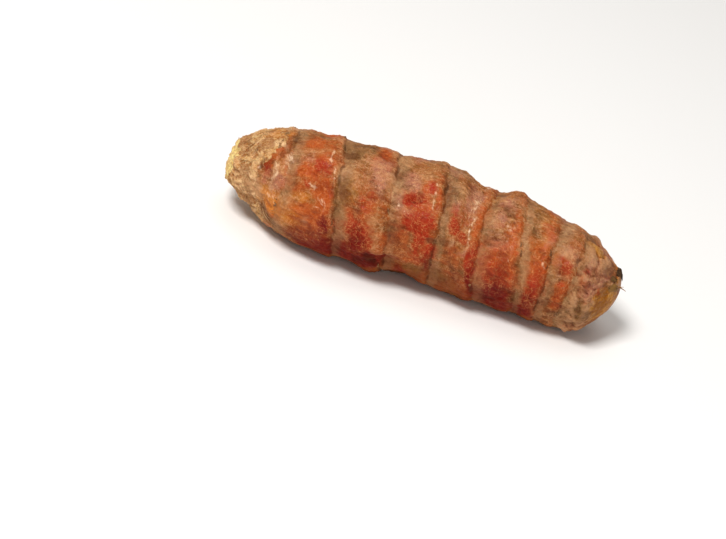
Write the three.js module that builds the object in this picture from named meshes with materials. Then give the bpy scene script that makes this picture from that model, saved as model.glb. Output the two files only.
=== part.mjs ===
// One finger of fresh turmeric, lying on its side.
// Millimetres. +X runs from the torn base to the growing tip, +Z is up, and z = 0 is the surface it lies on.
// The skin is one closed surface: a round section carried along a gently bent middle line, with the leaf
// scars, the bud and root scars, the wrinkles and the torn end raised or sunk from it by formula.

import * as THREE from 'three';

// Driving dimensions
const LENGTH = 86;
const TORN_RIM = 1.2;           // the skin starts here, round the torn face
const TIP_ROUNDING = 13;        // length over which the tip closes
const REST_DEPTH = 0.45;        // how far the belly is flattened where it rests
const TORN_DOME = 0.9;          // how far the middle of the torn face stands out
const TORN_TILT = 1.1;          // how far the torn face's near edge is set back
const COLUMNS = 60;             // steps round the section
const LONGEST_STEP = 2.1;       // longest step along the finger
const TORN_RINGS = [0.4, 0.75]; // rings of the torn face, as shares of its radius
const RIM_STEP = 1.4;           // first step of the skin inside the torn rim
const TIP_TURNS = [40, 52, 62, 71, 79, 85]; // rings of the tip, in degrees of its rounding

// Directions round the section, in degrees from +Y towards +Z
const UPPER = 60;               // lean shifts a leaf scar towards the tip here
const NEAR = 150;               // swing shifts it towards the tip here

// Middle line and radius at a few stations along the finger
const OUTLINE = [
  { x: TORN_RIM, radius: 4.3, side: 1.0, height: 10.8 },
  { x: 4, radius: 6.5, side: 1.0, height: 11.0 },
  { x: 7.5, radius: 8.4, side: 0.8, height: 11.4 },
  { x: 10.2, radius: 9.2, side: 0.0, height: 11.6 },
  { x: 13, radius: 10.4, side: -1.2, height: 11.6 },
  { x: 18, radius: 11.35, side: -2.2, height: 11.9 },
  { x: 25, radius: 12.05, side: -2.65, height: 12.3 },
  { x: 34, radius: 12.15, side: -1.9, height: 12.3 },
  { x: 41, radius: 12.15, side: -0.3, height: 12.4 },
  { x: 46, radius: 12.5, side: -0.2, height: 12.5 },
  { x: 50, radius: 12.4, side: -0.5, height: 12.4 },
  { x: 54, radius: 11.25, side: -1.5, height: 11.6 },
  { x: 61, radius: 11.65, side: -0.1, height: 11.9 },
  { x: 67, radius: 11.25, side: -0.7, height: 11.2 },
  { x: 74, radius: 10.5, side: -0.6, height: 10.8 },
  { x: 77.5, radius: 10.5, side: -0.7, height: 10.5 },
  { x: 80.5, radius: 10.6, side: -1.1, height: 9.7 },
  { x: LENGTH, radius: 9.4, side: 0.6, height: 10.8 },
];

// Leaf scars. Each has a rounded ridge on its base side, then a crisp step down into a groove.
const RIDGE_WIDTH = 1.3;        // the ridge is highest this far before the step
const GROOVE_WIDTH = 2.4;       // the groove has filled to about a third this far past it
const STEP_WIDTH = 0.3;
const DEEPER = 0.45;            // how much the relief gains on the side where it is deepest
const SHALLOWER = 0.33;         // and loses all round
const BESIDE_SCAR = [-2.5, -RIDGE_WIDTH, -0.4, 0.35, 1.4]; // rings of points that carry each scar's profile
const LEAF_SCARS = [
  { x: 13.0, lean: -0.3, swing: 0.6, ridge: 0.2, groove: 0.25, deepest: 100 },
  { x: 24.5, lean: -2.4, swing: 1.2, ridge: 0.26, groove: 0.38, deepest: 150 },
  { x: 36.2, lean: -1.7, swing: 0.2, ridge: 0.26, groove: 0.4, deepest: 130 },
  { x: 46.0, lean: -1.7, swing: 0.7, ridge: 0.28, groove: 0.4, deepest: 150 },
  { x: 56.2, lean: -1.2, swing: -0.5, ridge: 0.3, groove: 0.42, deepest: 150 },
  { x: 63.4, lean: -1.8, swing: 1.0, ridge: 0.24, groove: 0.3, deepest: 165 },
  { x: 70.9, lean: -0.2, swing: -0.7, ridge: 0.24, groove: 0.38, deepest: 165 },
  { x: 75.5, lean: 0.4, swing: 0.0, ridge: 0.22, groove: 0.36, deepest: 160 },
];

// Oval marks along and round the skin: a rim, and a middle that is sunk where it is below nothing.
// The wide ones are scars of side buds and the small ones of roots. The last three are the scale on the tip,
// a bulge on top and a hollow below.
const SIDE_MARKS = [
  { x: 36.6, at: 203, long: 4.6, wide: 2.4, rim: 0.55, middle: -0.8 },
  { x: 57.6, at: 10, long: 3.2, wide: 2.8, rim: 0.8, middle: -0.3 },
  { x: 27.4, at: 322, long: 3.0, wide: 2.4, rim: 0.7, middle: -0.6 },
  { x: 50.0, at: 165, long: 1.3, wide: 1.3, rim: 0.25, middle: -0.25 },
  { x: 41.0, at: 133, long: 1.9, wide: 1.4, rim: 0.15, middle: -0.45 },
  { x: 66.8, at: 35, long: 1.4, wide: 1.4, rim: 0.3, middle: -0.3 },
  { x: 18.2, at: 30, long: 1.5, wide: 1.4, rim: 0.3, middle: -0.35 },
  { x: 84.6, at: 80, long: 1.6, wide: 2.6, rim: 0, middle: 1.6 },
  { x: 64.4, at: 72, long: 6.8, wide: 8.0, rim: 0, middle: 1.15 },
  { x: 40.2, at: 238, long: 4.0, wide: 4.0, rim: 0, middle: -0.6 },
];
const RIM_SPREAD = 0.45;        // of a mark's rim and middle, as shares of the oval
const MIDDLE_SPREAD = 0.6;

// Waves over the skin: height in mm, turns of phase along the finger in radians for each mm, and round it
const LUMPS = [
  { height: 0.16, along: 0.31, round: 2, start: 1 },
  { height: 0.13, along: 0.47, round: -3, start: 4 },
  { height: 0.1, along: 0.83, round: 4, start: 2 },
];
const BASE_WRINKLES = [
  { height: 0.22, along: 0.5, round: 11, start: 0 },
  { height: 0.18, along: -0.7, round: 6, start: 1 },
];
const TIP_WRINKLES = [
  { height: 0.3, along: 0.25, round: 8, start: 0 },
  { height: 0.22, along: -0.6, round: 5, start: 2 },
];
const SCAR_WOBBLE = [
  { height: 0.28, along: 0.21, round: 2, start: 0 },
  { height: 0.15, along: -0.13, round: 5, start: 2 },
];
const TORN_FIBRES = [
  { height: 0.22, along: 0, round: 3, start: 1 },
  { height: 0.2, along: 0, round: 7, start: 5 },
];
const BASE_WRINKLE_END = 13;    // the wrinkles at the base have faded out here
const TIP_WRINKLE_START = 73;   // those at the tip start here
const TORN_EDGE_END = 7;        // the torn edge no longer shifts the skin here

const radians = THREE.MathUtils.degToRad;
const smoothstep = THREE.MathUtils.smoothstep;

// Sum of a list of waves at a place on the skin
function waves(list, x, angle) {
  let height = 0;
  for (const wave of list) {
    height += wave.height * Math.sin(wave.round * angle + wave.along * x + wave.start);
  }
  return height;
}

// A smooth curve through the points' values at their x, each point's slope taken from its two neighbours
function smoothThrough(points, key, x) {
  const last = points.length - 1;
  const slopeAt = (i) => {
    const before = points[Math.max(i - 1, 0)];
    const after = points[Math.min(i + 1, last)];
    return (after[key] - before[key]) / (after.x - before.x);
  };
  const found = points.findIndex((point) => point.x > x);
  const right = found < 0 ? last : Math.max(found, 1);
  const left = right - 1;
  const span = points[right].x - points[left].x;
  const s = THREE.MathUtils.clamp((x - points[left].x) / span, 0, 1);
  return points[left][key] * (1 + 2 * s) * (1 - s) ** 2
    + slopeAt(left) * span * s * (1 - s) ** 2
    + points[right][key] * s * s * (3 - 2 * s)
    - slopeAt(right) * span * s * s * (1 - s);
}

// Lean and swing fade to nothing at both ends of the finger
const SLANTS = [{ x: TORN_RIM, lean: 0, swing: 0 }, ...LEAF_SCARS, { x: LENGTH, lean: 0, swing: 0 }];

// How far a line round the finger is shifted towards the tip at an angle
function slant(x, angle) {
  const lean = smoothThrough(SLANTS, 'lean', x) * Math.cos(angle - radians(UPPER));
  const swing = smoothThrough(SLANTS, 'swing', x) * Math.cos(angle - radians(NEAR));
  const fade = smoothstep(x, TORN_RIM, LEAF_SCARS[0].x) * (1 - smoothstep(x, LEAF_SCARS.at(-1).x, LENGTH));
  return lean + swing + fade * waves(SCAR_WOBBLE, x, angle);
}

// Height of the leaf scars' ridges and grooves
function leafScarRelief(x, angle) {
  let height = 0;
  for (const scar of LEAF_SCARS) {
    const past = x - scar.x;
    const strength = 1 + DEEPER * (Math.cos(angle - radians(scar.deepest)) - SHALLOWER);
    if (past < 0) {
      const rise = -past / RIDGE_WIDTH;
      height += strength * scar.ridge * rise * Math.exp(1 - rise);
    } else {
      height -= strength * scar.groove * (1 - Math.exp(-past / STEP_WIDTH)) * Math.exp(-past / GROOVE_WIDTH);
    }
  }
  return height;
}

// Height of the oval marks, whose sizes are measured along the skin
function sideMarkRelief(x, angle, radius) {
  let height = 0;
  for (const mark of SIDE_MARKS) {
    const turned = angle - radians(mark.at);
    const across = radius * Math.atan2(Math.sin(turned), Math.cos(turned));
    const out = Math.hypot((x - mark.x) / mark.long, across / mark.wide);
    height += mark.rim * Math.exp(-(((out - 1) / RIM_SPREAD) ** 2));
    height += mark.middle * Math.exp(-((out / MIDDLE_SPREAD) ** 2));
  }
  return height;
}

// Slow lumps all over, lengthwise wrinkles in the dry skin at the base, star-shaped wrinkles at the tip
function skinRelief(x, angle) {
  const base = 1 - smoothstep(x, TORN_RIM, BASE_WRINKLE_END);
  const tip = smoothstep(x, TIP_WRINKLE_START, LENGTH);
  return waves(LUMPS, x, angle) + base * waves(BASE_WRINKLES, x, angle) + tip * waves(TIP_WRINKLES, x, angle);
}

// Distance of the skin from the middle line
function skinRadius(x, angle) {
  const past = Math.max(0, x - (LENGTH - TIP_ROUNDING)) / TIP_ROUNDING;
  const closing = Math.sqrt(Math.max(0, 1 - past * past));
  const radius = smoothThrough(OUTLINE, 'radius', x);
  const relief = leafScarRelief(x, angle) + sideMarkRelief(x, angle, radius) + skinRelief(x, angle);
  return closing * (radius + relief);
}

// A point at a share of the skin's radius, in the direction of an angle
function sectionPoint(x, angle, share, shift) {
  const radius = share * skinRadius(x, angle);
  const side = smoothThrough(OUTLINE, 'side', x) + radius * Math.cos(angle);
  const height = smoothThrough(OUTLINE, 'height', x) + radius * Math.sin(angle);
  return new THREE.Vector3(x + shift, side, Math.max(height - REST_DEPTH, 0));
}

// Set-back of the torn face: tilted as a whole, domed, and broken into coarse fibres
function tornFace(angle, share) {
  const tilt = TORN_TILT * Math.cos(angle - radians(NEAR));
  return share * (tilt + waves(TORN_FIBRES, 0, angle)) - TORN_DOME * (1 - share * share);
}

// Stations along the finger: close beside each leaf scar, evenly spaced between, and crowding into the tip
function stations() {
  const marks = [TORN_RIM, TORN_RIM + RIM_STEP];
  LEAF_SCARS.forEach((scar) => BESIDE_SCAR.forEach((offset) => marks.push(scar.x + offset)));
  TIP_TURNS.forEach((turn) => marks.push(LENGTH - TIP_ROUNDING * (1 - Math.sin(radians(turn)))));
  const rows = [];
  marks.forEach((mark, i) => {
    rows.push(mark);
    const gap = i + 1 < marks.length ? marks[i + 1] - mark : 0;
    const pieces = Math.ceil(gap / LONGEST_STEP);
    for (let step = 1; step < pieces; step += 1) {
      rows.push(mark + gap * step / pieces);
    }
  });
  return rows;
}

// One closed surface: the torn face's middle, its rings, the skin's rings, and the tip
function rhizomeGeometry() {
  const angles = Array.from({ length: COLUMNS }, (_, i) => 2 * Math.PI * i / COLUMNS);
  const rings = [];
  TORN_RINGS.forEach((share) => {
    rings.push(angles.map((angle) => sectionPoint(TORN_RIM, angle, share, tornFace(angle, share))));
  });
  stations().forEach((x) => {
    const rim = 1 - smoothstep(x, TORN_RIM, TORN_EDGE_END);
    rings.push(angles.map((angle) => sectionPoint(x, angle, 1, slant(x, angle) + rim * tornFace(angle, 1))));
  });
  const tornMiddle = sectionPoint(TORN_RIM, 0, 0, tornFace(0, 0));
  const tip = sectionPoint(LENGTH, 0, 0, 0);
  const points = [tornMiddle, ...rings.flat(), tip];
  const last = points.length - 1;
  const index = [];
  for (let i = 0; i < COLUMNS; i += 1) {
    const next = (i + 1) % COLUMNS;
    index.push(0, 1 + next, 1 + i);
    for (let row = 0; row + 1 < rings.length; row += 1) {
      const here = 1 + row * COLUMNS;
      const there = here + COLUMNS;
      index.push(here + i, here + next, there + next);
      index.push(here + i, there + next, there + i);
    }
    const end = 1 + (rings.length - 1) * COLUMNS;
    index.push(last, end + i, end + next);
  }
  const geometry = new THREE.BufferGeometry().setFromPoints(points);
  geometry.setIndex(index);
  geometry.computeBoundingBox();
  const middle = geometry.boundingBox.getCenter(new THREE.Vector3());
  geometry.translate(-middle.x, -middle.y, 0);
  geometry.computeVertexNormals();
  return geometry;
}

const skin = new THREE.MeshStandardMaterial({ color: 0xa8663c, roughness: 0.6, metalness: 0 });
const rhizome = new THREE.Mesh(rhizomeGeometry(), skin);
rhizome.name = 'turmeric_rhizome';

const turmeric = new THREE.Group();
turmeric.add(rhizome);

export default turmeric;
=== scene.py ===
import bpy
import numpy as np
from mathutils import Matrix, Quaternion, Vector


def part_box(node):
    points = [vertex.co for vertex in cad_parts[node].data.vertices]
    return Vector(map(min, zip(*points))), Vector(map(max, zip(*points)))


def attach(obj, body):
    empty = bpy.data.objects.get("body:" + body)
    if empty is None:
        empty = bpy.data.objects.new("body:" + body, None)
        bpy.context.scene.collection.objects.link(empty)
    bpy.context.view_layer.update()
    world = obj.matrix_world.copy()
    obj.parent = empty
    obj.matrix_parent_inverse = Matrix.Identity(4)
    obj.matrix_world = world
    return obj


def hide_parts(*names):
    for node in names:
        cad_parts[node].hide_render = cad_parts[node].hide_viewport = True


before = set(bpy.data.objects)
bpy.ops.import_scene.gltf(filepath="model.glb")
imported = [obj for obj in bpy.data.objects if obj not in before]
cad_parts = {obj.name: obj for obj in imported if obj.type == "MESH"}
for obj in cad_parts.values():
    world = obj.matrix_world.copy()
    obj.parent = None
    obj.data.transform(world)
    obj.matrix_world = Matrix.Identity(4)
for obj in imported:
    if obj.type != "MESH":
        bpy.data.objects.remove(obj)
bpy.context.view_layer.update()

# The turmeric finger
# One swollen underground stem, skin and flesh grown together. Its skin is thin and damp, and ringed by the
# scars of old leaves. It is dry and fibrous at the torn base, puckered at the growing tip, and rubbed to
# orange in patches.

MM = 0.001
NODE = "turmeric_rhizome"
LENGTH = 86.0
TORN_RIM = 1.2                  # the skin starts here, round the torn face
TIP_ROUNDING = 13.0             # length over which the tip closes
REST_DEPTH = 0.45               # how far the belly is flattened where it rests
TORN_DOME = 0.9
TORN_TILT = 1.1
UPPER, NEAR = np.radians(60), np.radians(150)

# Middle line and radius: station, radius, side, height
OUTLINE = np.array([
    (TORN_RIM, 4.3, 1.0, 10.8),
    (4, 6.5, 1.0, 11.0),
    (7.5, 8.4, 0.8, 11.4),
    (10.2, 9.2, 0.0, 11.6),
    (13, 10.4, -1.2, 11.6),
    (18, 11.35, -2.2, 11.9),
    (25, 12.05, -2.65, 12.3),
    (34, 12.15, -1.9, 12.3),
    (41, 12.15, -0.3, 12.4),
    (46, 12.5, -0.2, 12.5),
    (50, 12.4, -0.5, 12.4),
    (54, 11.25, -1.5, 11.6),
    (61, 11.65, -0.1, 11.9),
    (67, 11.25, -0.7, 11.2),
    (74, 10.5, -0.6, 10.8),
    (77.5, 10.5, -0.7, 10.5),
    (80.5, 10.6, -1.1, 9.7),
    (LENGTH, 9.4, 0.6, 10.8),
])

# Leaf scars: station, lean, swing, ridge, groove, direction in degrees where deepest
LEAF_SCARS = np.array([
    (13.0, -0.3, 0.6, 0.2, 0.25, 100),
    (24.5, -2.4, 1.2, 0.26, 0.38, 150),
    (36.2, -1.7, 0.2, 0.26, 0.4, 130),
    (46.0, -1.7, 0.7, 0.28, 0.4, 150),
    (56.2, -1.2, -0.5, 0.3, 0.42, 150),
    (63.4, -1.8, 1.0, 0.24, 0.3, 165),
    (70.9, -0.2, -0.7, 0.24, 0.38, 165),
    (75.5, 0.4, 0.0, 0.22, 0.36, 160),
])
RIDGE_WIDTH = 1.3
GROOVE_WIDTH = 2.4
STEP_WIDTH = 0.3
# A scar's strength is 1 + DEEPER * (cosine of the turn from its deepest side - SHALLOWER)
DEEPER, SHALLOWER = 0.45, 0.33

# Bud, root scars, bulges and dents, as ovals: station, direction in degrees, half length, half width, height
# of the rim, height of the middle
SIDE_MARKS = np.array([
    (36.6, 203, 4.6, 2.4, 0.55, -0.8),
    (57.6, 10, 3.2, 2.8, 0.8, -0.3),
    (27.4, 322, 3.0, 2.4, 0.7, -0.6),
    (50.0, 165, 1.3, 1.3, 0.25, -0.25),
    (41.0, 133, 1.9, 1.4, 0.15, -0.45),
    (66.8, 35, 1.4, 1.4, 0.3, -0.3),
    (18.2, 30, 1.5, 1.4, 0.3, -0.35),
    (84.6, 80, 1.6, 2.6, 0.0, 1.6),
    (64.4, 72, 6.8, 8.0, 0.0, 1.15),
    (40.2, 238, 4.0, 4.0, 0.0, -0.6),
])
RIM_SPREAD, MIDDLE_SPREAD = 0.45, 0.6

# Waves: height, turn of phase along in radians for each mm, round, start
LUMPS = [(0.16, 0.31, 2, 1), (0.13, 0.47, -3, 4), (0.1, 0.83, 4, 2)]
BASE_WRINKLES = [(0.22, 0.5, 11, 0), (0.18, -0.7, 6, 1)]
TIP_WRINKLES = [(0.3, 0.25, 8, 0), (0.22, -0.6, 5, 2)]
SCAR_WOBBLE = [(0.28, 0.21, 2, 0), (0.15, -0.13, 5, 2)]
TORN_FIBRES = [(0.22, 0, 3, 1), (0.2, 0, 7, 5)]
BASE_WRINKLE_END, TIP_WRINKLE_START, TORN_EDGE_END = 13, 73, 7

# Noises: height in mm or amount, length of a cell in mm, cells round the finger, seed
RAGGED_NOISE = [(0.4, 3.0, 26, 1), (0.25, 1.3, 60, 2)]
RAGGED_FROM, RAGGED_TO = 6, 80
CRUST_NOISE = [(0.8, 2.4, 30, 4), (0.4, 0.9, 80, 5)]
PEBBLE_NOISE = [(0.12, 1.8, 42, 10), (0.07, 0.9, 84, 11), (0.32, 4.5, 16, 12)]
WRINKLE_NOISE = [(0.1, 6.0, 60, 8), (0.07, 2.6, 100, 9)]
KNOB_NOISE = [(0.6, 3.0, 14, 19), (0.45, 1.6, 26, 20)]
FIBRE_END_NOISE = [(0.45, 1.1, 57, 15), (0.35, 0.5, 126, 16)]
BEND_ALONG = [(1.0, 3.6, 20, 21), (0.6, 1.6, 44, 22)]
BEND_ROUND = [(1.0, 3.6, 20, 23), (0.6, 1.6, 44, 24)]
CRUMPLE_HEIGHT, CLEFT_DEPTH = 0.24, 0.55
CRUMPLE_MIDDLE = 0.3            # value of a crumple at which it adds nothing

# The dry skin of the base ends here, back by bays: depth in mm, direction in degrees, spread in radians
CRUST_END, CRUST_WAVE = 11.6, 0.4
CRUST_BAYS = [(4.6, 152, 0.42), (3.2, 190, 0.36)]
CRUST_HEIGHT = 0.1
CRUST_SHEAR, CRUST_CROSS_SHEAR = 0.1, -0.16

# Its lip and the trough beyond it: height, place past the edge, spread, all in mm
LIP, TROUGH = (0.5, -0.6, 0.7), (-0.4, 1.3, 1.1)
LIP_DIRECTION, LIP_SPREAD = 130, 0.5

# Over the tip's end, textures change from the unrolled skin to a plane across the finger
PLANE_FROM, PLANE_FULL = 80.5, 84
PLANE_RADIUS = 9.6
PLANE_STATION, PLANE_TURN = 20, 0.1
KNOBS_FROM, KNOBS_FULL = 75, 79

# How deep the fold after each scar is, and how dark it is painted as shade, in these directions round the
# finger
FOLD_DIRECTIONS = np.array([-60, 0, 60, 90, 115, 135, 150, 165, 180, 200, 240, 300])
FOLDS = np.array([
    (0.5, 0.7, 0.6, 0.9, 0.5, 0.2, 0.0, 0.0, 0.0, 0.1, 0.4, 0.5),
    (0.6, 0.7, 0.6, 0.8, 0.5, 1.0, 0.6, 0.6, 0.7, 0.8, 0.6, 0.6),
    (0.6, 0.5, 0.9, 1.0, 0.8, 0.4, 0.2, 0.2, 0.6, 0.9, 0.8, 0.6),
    (0.6, 0.5, 0.2, 0.4, 0.9, 0.9, 0.9, 0.5, 0.7, 0.8, 0.6, 0.6),
    (0.5, 0.7, 0.5, 0.5, 0.6, 0.8, 0.7, 0.4, 0.6, 0.9, 0.7, 0.5),
    (0.5, 0.6, 0.0, 0.1, 0.3, 0.4, 0.3, 0.2, 0.3, 0.4, 0.6, 0.5),
    (0.4, 0.5, 0.4, 0.4, 0.6, 0.6, 0.5, 0.8, 0.6, 0.7, 0.6, 0.4),
    (0.4, 0.4, 0.5, 0.6, 0.8, 0.9, 0.6, 0.4, 0.7, 0.7, 0.6, 0.4),
])
FOLD_DEPTH = 0.14
FOLD_WIDTH = 0.3
FOLD_PAST_SCAR = 0.25

# Small pits, dented in and painted dark as shade: place along, direction in degrees, half length, half width,
# depth
PITS = np.array([
    (8.3, 150, 0.35, 1.1, 0.5),
    (46.4, 168, 1.3, 0.7, 0.5),
    (78.4, 134, 0.9, 0.4, 0.35),
    (83.8, 141, 0.35, 1.3, 0.35),
    (40.6, 138, 1.2, 0.5, 0.3),
    (38.3, 178, 0.35, 1.6, 0.3),
    (17.2, 145, 0.9, 0.5, 0.15),
    (6.2, 128, 0.4, 0.4, 0.3),
    (31.5, 285, 0.9, 0.8, 0.45),
    (60.0, 330, 0.8, 0.8, 0.4),
    (19.5, 250, 0.9, 0.6, 0.4),
])

# Sharp little ribs where the ridges' skin is pinched, raised and painted pale as highlights: place along,
# direction, half length, half width
RIBS = np.array([
    (22.0, 116, 0.22, 1.6),
    (23.5, 129, 0.3, 1.2),
    (44.0, 122, 0.22, 2.0),
    (44.5, 138, 0.22, 1.6),
    (53.0, 118, 0.25, 2.6),
    (53.3, 140, 0.22, 2.4),
    (53.8, 157, 0.22, 1.6),
    (61.2, 128, 0.25, 1.6),
    (69.0, 149, 0.25, 1.4),
    (12.4, 150, 0.3, 2.0),
    (14.0, 128, 0.4, 1.2),
    (38.0, 143, 0.4, 1.4),
])
RIB_HEIGHT, RIB_BEND = 0.16, 0.5

# Patches of crinkled, shining skin, their creases raised and painted pale as highlights: place along,
# direction, half length, half width, amount
CRINKLED = [
    (13.9, 127, 1.3, 2.2, 1.0), (12.3, 149, 0.9, 2.6, 1.0), (12.7, 175, 1.2, 1.6, 0.9),
    (22.0, 113, 0.8, 2.0, 0.8), (23.4, 130, 0.9, 1.6, 1.0), (20.3, 149, 1.0, 1.0, 1.0),
    (22.8, 163, 1.3, 1.2, 0.8), (44.1, 118, 0.7, 2.4, 0.8), (44.4, 137, 0.7, 2.0, 0.8),
    (52.6, 112, 1.2, 2.4, 0.9), (52.8, 128, 1.2, 2.0, 0.9), (53.6, 150, 0.7, 2.2, 0.9),
    (61.0, 130, 0.9, 2.2, 0.9), (61.6, 146, 0.7, 1.4, 0.6), (69.0, 149, 0.9, 1.6, 0.8),
    (38.2, 142, 0.9, 1.8, 0.7), (40.5, 151, 1.3, 0.7, 0.7), (10.6, 116, 1.4, 1.0, 0.9),
    (6.6, 124, 2.4, 2.6, 0.6), (7.4, 150, 1.2, 1.6, 0.8), (62.2, 160, 0.9, 0.6, 0.7),
    (16.6, 176, 1.4, 1.0, 0.5), (32.0, 172, 1.6, 1.6, 0.5), (51.4, 165, 1.4, 1.4, 0.5),
]
CRINKLE_HEIGHT, CRINKLE_BEND = 0.22, 1.0


def smooth_through(column, x):
    """A cubic curve through the outline's values at their stations, with each station's slope taken
    from its two neighbours."""
    return smooth_curve(OUTLINE[:, 0], OUTLINE[:, column], x)


def smooth_curve(stations, values, x):
    """A cubic between each two stations, its end slopes those of the chords past both neighbours."""
    order = np.arange(len(stations))
    before, after = np.maximum(order - 1, 0), np.minimum(order + 1, order[-1])
    slopes = (values[after] - values[before]) / (stations[after] - stations[before])
    right = np.clip(np.searchsorted(stations, x, side="right"), 1, order[-1])
    left = right - 1
    span = stations[right] - stations[left]
    s = np.clip((x - stations[left]) / span, 0, 1)
    return (values[left] * (1 + 2 * s) * (1 - s) ** 2 + slopes[left] * span * s * (1 - s) ** 2
            + values[right] * s * s * (3 - 2 * s) - slopes[right] * span * s * s * (1 - s))


def smoothstep(x, low, high):
    """0 below low, 1 above high, and the cubic 3s2 - 2s3 between."""
    s = np.clip((x - low) / (high - low), 0, 1)
    return s * s * (3 - 2 * s)


def waves(listed, x, angle):
    """Sum of sine waves, each with its height, its phase for each mm along, its turns round and its start."""
    return sum(height * np.sin(turns * angle + along * x + start) for height, along, turns, start in listed)


def grain(x, angle, along, cells, seed):
    """Gradient noise on the unrolled skin, about -1 to 1: its cells are `along` mm long, and `cells` go
    round the finger. Each cell corner has a random slope, and the four blend smoothly."""
    u, v = (x + 5) / along, (angle / (2 * np.pi)) % 1 * cells
    rng = np.random.default_rng(seed)
    heading = rng.uniform(0, 2 * np.pi, (int(LENGTH / along) + int(20 / along) + 4, cells))
    i, j = np.floor(u).astype(int), np.floor(v).astype(int)
    total = 0
    for di in (0, 1):
        for dj in (0, 1):
            turn = heading[i + di, (j + dj) % cells]
            du, dv = u - i - di, v - j - dj
            weight = smoothstep(1 - np.abs(du), 0, 1) * smoothstep(1 - np.abs(dv), 0, 1)
            total = total + weight * (np.cos(turn) * du + np.sin(turn) * dv)
    return 1.6 * total


def grains(listed, x, angle):
    """Sum of gradient noises, each with its height, length of a cell, cells round and seed."""
    return sum(height * grain(x, angle, along, cells, seed) for height, along, cells, seed in listed)


def fold_lines(x, angle, along, cells, seed, narrow):
    """1 where a noise passes through nothing, falling evenly to 0 on both sides of that line."""
    return np.clip(1 - np.abs(grain(x, angle, along, cells, seed)) * narrow, 0, 1)


def turned_from(angle, degrees):
    """Signed angle from a direction, between half a turn each way."""
    away = angle - np.radians(degrees)
    return np.arctan2(np.sin(away), np.cos(away))


def slant(x, angle):
    """Shift of a line round the finger towards the tip: lean above, swing on the near side, and wobble."""
    stations = np.r_[TORN_RIM, LEAF_SCARS[:, 0], LENGTH]
    lean = smooth_curve(stations, np.r_[0, LEAF_SCARS[:, 1], 0], x) * np.cos(angle - UPPER)
    swing = smooth_curve(stations, np.r_[0, LEAF_SCARS[:, 2], 0], x) * np.cos(angle - NEAR)
    fade = smoothstep(x, TORN_RIM, LEAF_SCARS[0, 0]) * (1 - smoothstep(x, LEAF_SCARS[-1, 0], LENGTH))
    return lean + swing + fade * waves(SCAR_WOBBLE, x, angle)


def ragged(x, angle):
    """Station moved by noise, mostly by less than a third of a millimetre, so that no scar is clean-cut."""
    fade = smoothstep(x, TORN_RIM, RAGGED_FROM) * (1 - smoothstep(x, RAGGED_TO, LENGTH))
    return x + fade * grains(RAGGED_NOISE, x, angle)


def past_scar(x, angle):
    """Distance along the finger past the nearest leaf scar, negative before it."""
    away = ragged(x, angle)[..., None] - LEAF_SCARS[:, 0]
    nearest = np.abs(away).argmin(-1)
    return np.take_along_axis(away, nearest[..., None], -1)[..., 0]


def leaf_scar_relief(x, angle):
    """Each scar rises to a rounded ridge, x e^(1-x), and drops by a step to a groove that fades."""
    height = 0
    for station, _, _, ridge, groove, deepest in LEAF_SCARS:
        past = ragged(x, angle) - station
        strength = 1 + DEEPER * (np.cos(angle - np.radians(deepest)) - SHALLOWER)
        rise = np.maximum(-past, 0) / RIDGE_WIDTH
        sunk = np.maximum(past, 0)
        height = height + strength * ridge * rise * np.exp(1 - rise)
        height = height - strength * groove * (1 - np.exp(-sunk / STEP_WIDTH)) * np.exp(-sunk / GROOVE_WIDTH)
    return height


def folds(x, angle):
    """0 to 1 in the narrow fold after each scar: a bell curve across it, its strength changing round the
    finger."""
    found = np.zeros_like(x)
    for (station, *_), strengths in zip(LEAF_SCARS, FOLDS):
        strength = np.interp(np.degrees(angle), FOLD_DIRECTIONS, strengths, period=360)
        broken = np.clip(0.75 + 1.1 * grain(x, angle, 30.0, 34, station.astype(int)), 0, 1.2)
        across = (ragged(x, angle) - station - FOLD_PAST_SCAR) / (FOLD_WIDTH * (0.6 + 0.8 * strength))
        found = np.maximum(found, strength * broken * np.exp(-across ** 2))
    return np.minimum(found, 1)


def side_mark_relief(x, angle, radius):
    """Ovals measured along the skin: a rim as a bell curve about the oval, and a bell curve in its middle."""
    height = 0
    for station, at, long, wide, rim, middle in SIDE_MARKS:
        out = np.hypot((x - station) / long, radius * turned_from(angle, at) / wide)
        height = height + rim * np.exp(-(((out - 1) / RIM_SPREAD) ** 2))
        height = height + middle * np.exp(-((out / MIDDLE_SPREAD) ** 2))
    return height


def bells(listed, place, angle, radius):
    """Sum of bell curves over ovals: place along, direction, half length, half width, height."""
    height = 0
    for middle, at, long, wide, high in listed:
        out = np.hypot((place - middle) / long, radius * turned_from(angle, at) / wide)
        height = height + high * np.exp(-out ** 2)
    return height


def crust_edge(angle):
    """Where the dry fibrous skin of the base ends: far along above, back by bell-shaped bays in front."""
    bays = sum(deep * np.exp(-(turned_from(angle, at) / spread) ** 2) for deep, at, spread in CRUST_BAYS)
    return CRUST_END - bays + CRUST_WAVE * np.sin(3 * angle)


def crust(x, angle):
    """1 on the dry fibrous skin of the base, 0 past its ragged edge."""
    edge = crust_edge(angle) + grains(CRUST_NOISE, x, angle)
    return 1 - smoothstep(x - edge, -0.3, 0.4)


def crumple(x, angle):
    """Folds of thin skin, sharp along their tops: squares of two sizes of fold lines. 0 to 1."""
    bent = x + 0.8 * grain(x, angle, 3.0, 24, 17)
    wide, narrow = fold_lines(bent, angle, 2.6, 30, 6, 2.2), fold_lines(bent, angle, 1.4, 54, 7, 2.2)
    return 0.6 * wide ** 2 + 0.4 * narrow ** 2


def creases(x, angle):
    """Thin sharp lines: the stronger of two sizes of fold lines, each to the power 1.5. 0 to 1."""
    bent = x + 0.5 * grain(x, angle, 1.6, 40, 25)
    long_lines = fold_lines(bent, angle, 1.1, 34, 26, 4)
    short_lines = fold_lines(bent + 2, angle, 0.8, 70, 27, 4)
    return np.maximum(long_lines ** 1.5, 0.7 * short_lines ** 1.5)


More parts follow.
